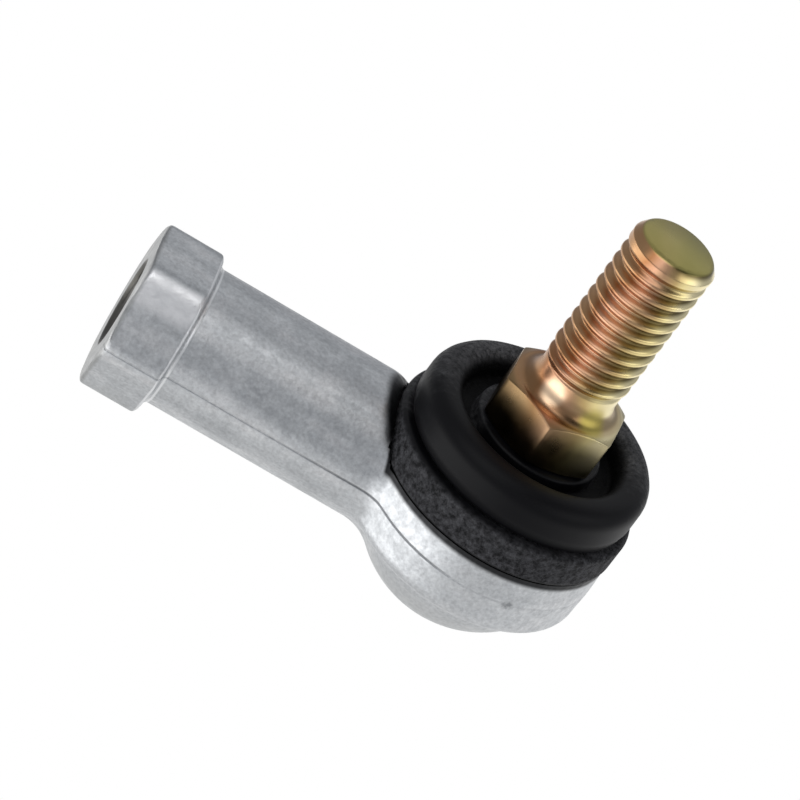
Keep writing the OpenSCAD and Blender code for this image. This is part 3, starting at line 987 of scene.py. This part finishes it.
# The next two colours are painted highlights on the collar, pale and yellow.
PALE_HIGHLIGHT, YELLOW_HIGHLIGHT = (0.95, 0.70, 0.47), (0.50, 0.41, 0.10)
PALE_HIGHLIGHT_SPOT = ((-1.45, -2.51, 12.2), 1.15, 1.0)  # place, size and strength of a pale painted highlight on the collar
YELLOW_HIGHLIGHT_SPOT = ((1.85, -2.55, 11.6), 1.4, 0.85)  # the same for a yellow painted highlight


def film_across(tree, across):
    """Colour from the distance across the stud, shifted by slow noise."""
    drifted = plus(tree, across, waver(tree, FILM_GRAIN, FILM_DRIFT))
    return ramp(tree, fade(tree, drifted, FILM_SPAN, "LINEAR"), FILM)


def painted_collar_highlights(tree, film):
    """Two painted highlights on the collar, one pale and one yellow, each a soft round mask."""
    film = mixed(tree, near(tree, *PALE_HIGHLIGHT_SPOT), film, PALE_HIGHLIGHT)
    return mixed(tree, near(tree, *YELLOW_HIGHLIGHT_SPOT), film, YELLOW_HIGHLIGHT)


print("film colours:", len(FILM))

# %% [markdown]
# Painted shade darkens the roots of the thread on one side, a painted dark reflection browns the corner
# above the hexagon, the hexagon is dull, and it grows darker towards the boot.

# %% Plated steel: painted shade and reflection, and the darker hexagon
# Painted shade for the thread's roots, and a painted dark reflection for the corner above the hexagon.
ROOT_SHADE, CORNER_REFLECTION = (0.10, 0.07, 0.022), (0.24, 0.13, 0.06)
# The second colour darkens the hexagon towards the boot.
DULL_STEEL, LOW_DARK = (0.17, 0.135, 0.065), (0.025, 0.021, 0.011)
ROOT_DEPTH, ROOT_UP = (2.64, 2.90, 0.9, 0.0), (13.0, 13.6, 0.0, 1.0)
ROOT_SIDE = (-0.4, 1.0, 0.0, 1.0)
CORNER_LOW, CORNER_HIGH = (11.1, 11.3, 0.0, 0.7), (11.7, 12.1, 1.0, 0.0)
DULL_UP, LOW_DARK_UP = (11.0, 11.2, 0.55, 0.0), (7.5, 10.3, 0.85, 0.0)
LOW_DARK_GRAIN, LOW_DARK_WAVE, LOW_DARK_LEAN = (420, 2), 1.0, 0.4


def painted_root_shade(tree, film, across, y, z):
    """Painted shade where the radius is small, above the waist, on one side of the axis."""
    deep = fade(tree, length(tree, across, y), ROOT_DEPTH)
    root = times(tree, deep, fade(tree, z, ROOT_UP), fade(tree, across, ROOT_SIDE))
    return mixed(tree, root, film, ROOT_SHADE)


def painted_collar_reflection(tree, film, z):
    """A brown band between two heights, painted as the collar's dark reflection."""
    return mixed(tree, times(tree, fade(tree, z, CORNER_LOW), fade(tree, z, CORNER_HIGH)), film, CORNER_REFLECTION)


def dull_hex_darker_low(tree, film, across, z):
    """The hexagon dulled, then darker below a height that wavers with noise and leans across the stud."""
    film = mixed(tree, fade(tree, z, DULL_UP), film, DULL_STEEL)
    level = plus(tree, z, waver(tree, LOW_DARK_GRAIN, LOW_DARK_WAVE))
    level = plus(tree, level, times(tree, across, LOW_DARK_LEAN))
    return mixed(tree, fade(tree, level, LOW_DARK_UP), film, LOW_DARK)


print("grease ends at", LOW_DARK_UP[1], "mm")

# %% Plated finish
PLATED_ROUGH, PLATED_ROUGH_GRAIN, PLATED_GRAIN = (0.27, 0.36), (700, 2), (1400, 2)


def plated_finish():
    """Chromate film, painted root shade, olive tip, painted collar reflection and highlights, darker hexagon."""
    material, tree, shader = new_finish("yellow_chromate_steel")
    x, y, z = axes(tree)
    across = off_ball(tree, x)
    film = painted_root_shade(tree, film_across(tree, across), across, y, z)
    film = mixed(tree, fade(tree, z, TIP_FILM), film, TIP_OLIVE)
    film = painted_collar_highlights(tree, painted_collar_reflection(tree, film, z))
    film = dull_hex_darker_low(tree, film, across, z)
    rough = uneven(tree, PLATED_ROUGH_GRAIN, *PLATED_ROUGH)
    grain = bump(tree, noise(tree, *PLATED_GRAIN), strength=0.2, depth_mm=0.01)
    fill(tree, shader, Metallic=1.0, Base_Color=film, Roughness=rough, Normal=grain)
    return material


dress(stud, plated_finish())

# %% [markdown]
# The boot's skirt keeps the grain of a spark-eroded mould, while the front of the bulge is smooth and satin
# from flexing. Its far side is grained and painted lighter, as painted light. The grain has to go with the
# rubber when it turns and rolls, so the place of each point at rest is stored on the mesh, and the finish
# reads that.

# %% Rubber: rest place and masks
REST = "rest_place"
SKIRT_ENDS, SKIRT_STARTS = (4.6, 5.1, 1.0, 0.0), (SEAT_Z + 0.12, SEAT_Z + 0.34, 0.0, 1.0)
CROWN_SIDE, CROWN_GRAIN, CROWN_RAGGED = (-3.0, 5.5, 0.0, 0.8), (500, 3, 0.6), 10.0
RECESS_IN, RECESS_OUT = (4.6, 4.8, 0.0, 1.0), (6.0, 6.6, 1.0, 0.0)


def keep_rest(piece):
    """Stores where each point is at rest, as one vector for each vertex."""
    rest = piece.data.attributes.new(REST, "FLOAT_VECTOR", "POINT")
    rest.data.foreach_set("vector", spots_of(piece).ravel())


def rubber_masks(tree):
    """Grained skirt and crown together, the crown alone with a ragged edge, and the ring of the recess."""
    x, y, z = axes(tree)
    skirt = times(tree, fade(tree, z, SKIRT_ENDS), fade(tree, z, SKIRT_STARTS))
    crown = fade(tree, plus(tree, y, waver(tree, CROWN_GRAIN, CROWN_RAGGED)), CROWN_SIDE)
    reach = length(tree, off_ball(tree, x), y)
    deep = times(tree, fade(tree, reach, RECESS_IN), fade(tree, reach, RECESS_OUT))
    return maths(tree, "MAXIMUM", skirt, crown), crown, deep


keep_rest(boot)
print("stored on the boot:", REST)

# %% Rubber finish
# The second colour is painted shade in the recess between bulge and lip.
RUBBER, RECESS_SHADE = (0.003, 0.003, 0.004), (0.0008, 0.0008, 0.001)
GRAIN_TONES = [(0.38, (0.008, 0.008, 0.009)), (0.64, (0.072, 0.072, 0.078))]
# Lighter tones for the far side: partly its grain, partly painted light.
CROWN_LIT_TONES = [(0.36, (0.015, 0.015, 0.016)), (0.64, (0.16, 0.16, 0.165))]
GRAIN, CROWN_NOISE, PITS, SKIN = (2200, 4, 0.75), (2600, 4, 0.75), (2400, 4, 0.7), (1500, 3)
SATIN, MATT, RUBBER_GLOSS = 0.46, 0.66, 0.14


def rubber_finish():
    """Black rubber: grained and matt on skirt and crown, crown painted lighter, satin bulge, painted recess shade.
    """
    material, tree, shader = new_finish("black_moulded_rubber", REST)
    grained, crown, deep = rubber_masks(tree)
    shade = mixed(tree, grained, RUBBER, ramp(tree, noise(tree, *GRAIN), GRAIN_TONES))
    shade = mixed(tree, crown, shade, ramp(tree, noise(tree, *CROWN_NOISE), CROWN_LIT_TONES))
    shade = mixed(tree, deep, shade, RECESS_SHADE)
    rough = spread(tree, maths(tree, "MAXIMUM", grained, deep), 0.0, 1.0, SATIN, MATT)
    pits = bump(tree, times(tree, noise(tree, *PITS), grained), strength=1.0, depth_mm=0.3)
    skin = bump(tree, noise(tree, *SKIN), strength=0.12, depth_mm=0.03, under=pits)
    fill(tree, shader, Base_Color=shade, Roughness=rough, Specular_IOR_Level=RUBBER_GLOSS, Normal=skin)
    return material


dress(boot, rubber_finish())

# %% [markdown]
# The ball is ground and polished; only grease and the boot ever see it.

# %% Ball steel
LAPPED_TONES, LAPPED = [(0.35, (0.60, 0.61, 0.63)), (0.65, (0.68, 0.69, 0.71))], (600, 2)
BALL_ROUGH, BALL_ROUGH_GRAIN = (0.06, 0.12), (3000, 2)


def ball_finish():
    """Polished bearing steel with a very fine lapped haze."""
    material, tree, shader = new_finish("polished_ball_steel")
    shade = ramp(tree, noise(tree, *LAPPED), LAPPED_TONES)
    fill(tree, shader, Metallic=1.0, Base_Color=shade, Roughness=uneven(tree, BALL_ROUGH_GRAIN, *BALL_ROUGH))
    return material


dress(frame["nodes"]["ball"], ball_finish())

# %% [markdown]
# ## What moves with what
# The casting stays, the boot swivels with the stud, and the stud leans. The casting rides the housing body
# and the stud its own body. For the boot, a share of the stud's lean is worked out from the radius: all of
# it at the lip, none at the skirt, and a part in the bulge between them; the shares are only printed.

# %% Ride, and the boot's shares of the lean
ROLL_OUT_R, ROLL_IN_R = 8.0, 3.6  # the lean starts and is whole at these radii

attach(casting, "housing")
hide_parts("housing")
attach(stud, "stud")
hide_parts("stud")
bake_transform(boot)
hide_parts("dust_boot")


def roll_weight(piece):
    """Share of the stud's lean at each point: none at the skirt, all at the neck, smooth in between."""
    x, y, z = ((spots_of(piece) - BALL) / MM).T
    inward = ease(share(np.hypot(x, y), ROLL_OUT_R, ROLL_IN_R))
    return inward * share(z, RIM_TOP, LIP_LOW)


weights = roll_weight(boot)
print("boot weights from", weights.min().round(3), "to", weights.max().round(3))

# %% [markdown]
# ## Stage, light and camera
# The part is shown above a white sweep that glows, as on a light table: fully behind
# the part, and less in front of it, so that the metal facing down isn't washed out.

# %% Stage
FRONT_GLOW, SIDE_GLOW, BACK_GLOW = 0.76, 0.92, 1.0
BACK_FADE, SIDE_FADE = (40.0, 110.0, FRONT_GLOW, BACK_GLOW), (60.0, 200.0, FRONT_GLOW, SIDE_GLOW)
FLOOR_Z, FLOOR_LOW, FLOOR_HIGH = -150, (-900, -320), (900, 900)
CORNERS = np.array([[-1, -1], [1, -1], [1, 1], [-1, 1]])
ONE_QUAD = [np.array([[0, 1, 2, 3]])]


def pale_floor():
    """A wide white sheet below the part whose glow grows with Y and with X."""
    low, high = np.array(FLOOR_LOW), np.array(FLOOR_HIGH)
    rim = (low + high) / 2 + CORNERS * (high - low) / 2
    floor = build_mesh("pale_floor", np.column_stack([rim, np.full(4, FLOOR_Z)]), ONE_QUAD)
    material, tree, shader = new_finish("white_sweep")
    x, y, _ = axes(tree)
    glow = maths(tree, "MAXIMUM", fade(tree, y, BACK_FADE), fade(tree, x, SIDE_FADE))
    fill(tree, shader, Base_Color=(0, 0, 0), Specular_IOR_Level=0.0, Emission_Color=(1, 1, 1),
         Emission_Strength=glow)
    dress(floor, material)
    return floor


print("stage:", pale_floor().name)

# %% [markdown]
# Metal shows what stands round it. Five soft boxes give the shank, the dome and the stud their bright bands,
# and a black card gives the stud's flats and the thread something dark to reflect. Even grey surroundings
# fill the rest.

# %% Lights
SKY = (0.38, 0.39, 0.41)
CARD_BLACK, CARD_ROUGH = (0.01, 0.01, 0.01), 0.9
CARD = (44, 59, 520, (400, 300))  # azimuth, elevation, distance, width and height
SOFTBOXES = [  # name, point looked at, azimuth, elevation, distance, width and height, glow
    ("left_low_softbox", (0, 0, 0), -62, -24, 200, (450, 110), 1.65),
    ("stud_softbox", (0, 0, 18), -42, 38, 120, (90, 66), 0.95),
    ("right_softbox", (0, 0, 18), 64, 27, 150, (130, 90), 1.0),
    ("shank_softbox", (-27, 0, 0), 10, 70, 80, (54, 26), 1.25),
    ("back_high_softbox", (0, 0, 0), 170, 42, 400, (500, 260), 0.25)]


def towards(azimuth, elevation):
    """Unit direction from the ball to a viewer at that azimuth and elevation."""
    a, e = math.radians(azimuth), math.radians(elevation)
    return Vector((math.sin(a) * math.cos(e), -math.cos(a) * math.cos(e), math.sin(e)))


def black_flag(azimuth, elevation, distance_mm, size_mm):
    """A black card square to its direction from the ball, its sides level and upright."""
    back = np.array(towards(azimuth, elevation))
    side = np.cross([0, 0, 1], back)
    side /= np.linalg.norm(side)
    spots = CORNERS * np.array(size_mm) / 2
    points = back * distance_mm + spots[:, :1] * side + spots[:, 1:] * np.cross(back, side)
    flag = build_mesh("black_flag", points, ONE_QUAD)
    material, tree, shader = new_finish("black_card")
    fill(tree, shader, Base_Color=CARD_BLACK, Roughness=CARD_ROUGH)
    dress(flag, material)


def soft_light(name, aim_mm, azimuth, elevation, distance_mm, size_mm, glow):
    """A softbox that looks at a point; its power is how bright its face is times pi times its area."""
    back = towards(azimuth, elevation)
    lamp = bpy.data.lights.new(name, "AREA")
    lamp.shape, lamp.size, lamp.size_y = "RECTANGLE", size_mm[0] * MM, size_mm[1] * MM
    lamp.energy = glow * math.pi * lamp.size * lamp.size_y
    light = put(name, lamp)
    light.rotation_mode = "QUATERNION"
    light.location = Vector(at(*aim_mm)) + back * distance_mm * MM
    light.rotation_quaternion = (-back).to_track_quat("-Z", "Y")


def studio_world():
    """Even grey surroundings."""
    world = bpy.data.worlds.new("studio")
    world.use_nodes = True
    world.node_tree.nodes["Background"].inputs["Color"].default_value = (*SKY, 1)
    bpy.context.scene.world = world


black_flag(*CARD)
studio_world()
for softbox in SOFTBOXES:
    soft_light(*softbox)
bpy.context.scene.view_settings.view_transform = "Standard"
print("lights:", [softbox[0] for softbox in SOFTBOXES])

# %% [markdown]
# The camera stands where the photograph was taken from: a long lens, looking down on the joint, rolled so
# that the stud points up to the right.

# %% Camera
VIEW_AZIMUTH, VIEW_ELEVATION, VIEW_ROLL = -9.84, 31.70, 35.50
VIEW_DISTANCE = 242.8
VIEW_TARGET = (-8.84, 0.0, 4.23)
LENS, SENSOR = 166.8, 36.0
CLIP = (0.01, 20.0)


def photo_camera():
    """Camera on a line from the target, with the picture's right axis rolled up by VIEW_ROLL."""
    azimuth, roll = math.radians(VIEW_AZIMUTH), math.radians(VIEW_ROLL)
    back = towards(VIEW_AZIMUTH, VIEW_ELEVATION)
    level = Vector((math.cos(azimuth), math.sin(azimuth), 0))
    rise = back.cross(level)
    right = level * math.cos(roll) + rise * math.sin(roll)
    up = rise * math.cos(roll) - level * math.sin(roll)
    data = bpy.data.cameras.new("photo_camera")
    data.lens, data.sensor_width = LENS, SENSOR
    data.clip_start, data.clip_end = CLIP
    camera = put("photo_camera", data)
    stand = Vector(at(*VIEW_TARGET)) + back * VIEW_DISTANCE * MM
    camera.matrix_world = Matrix.Translation(stand) @ Matrix((right, up, back)).transposed().to_4x4()
    bpy.context.scene.camera = camera


photo_camera()
print("camera at", [round(v, 4) for v in bpy.context.scene.camera.matrix_world.translation])
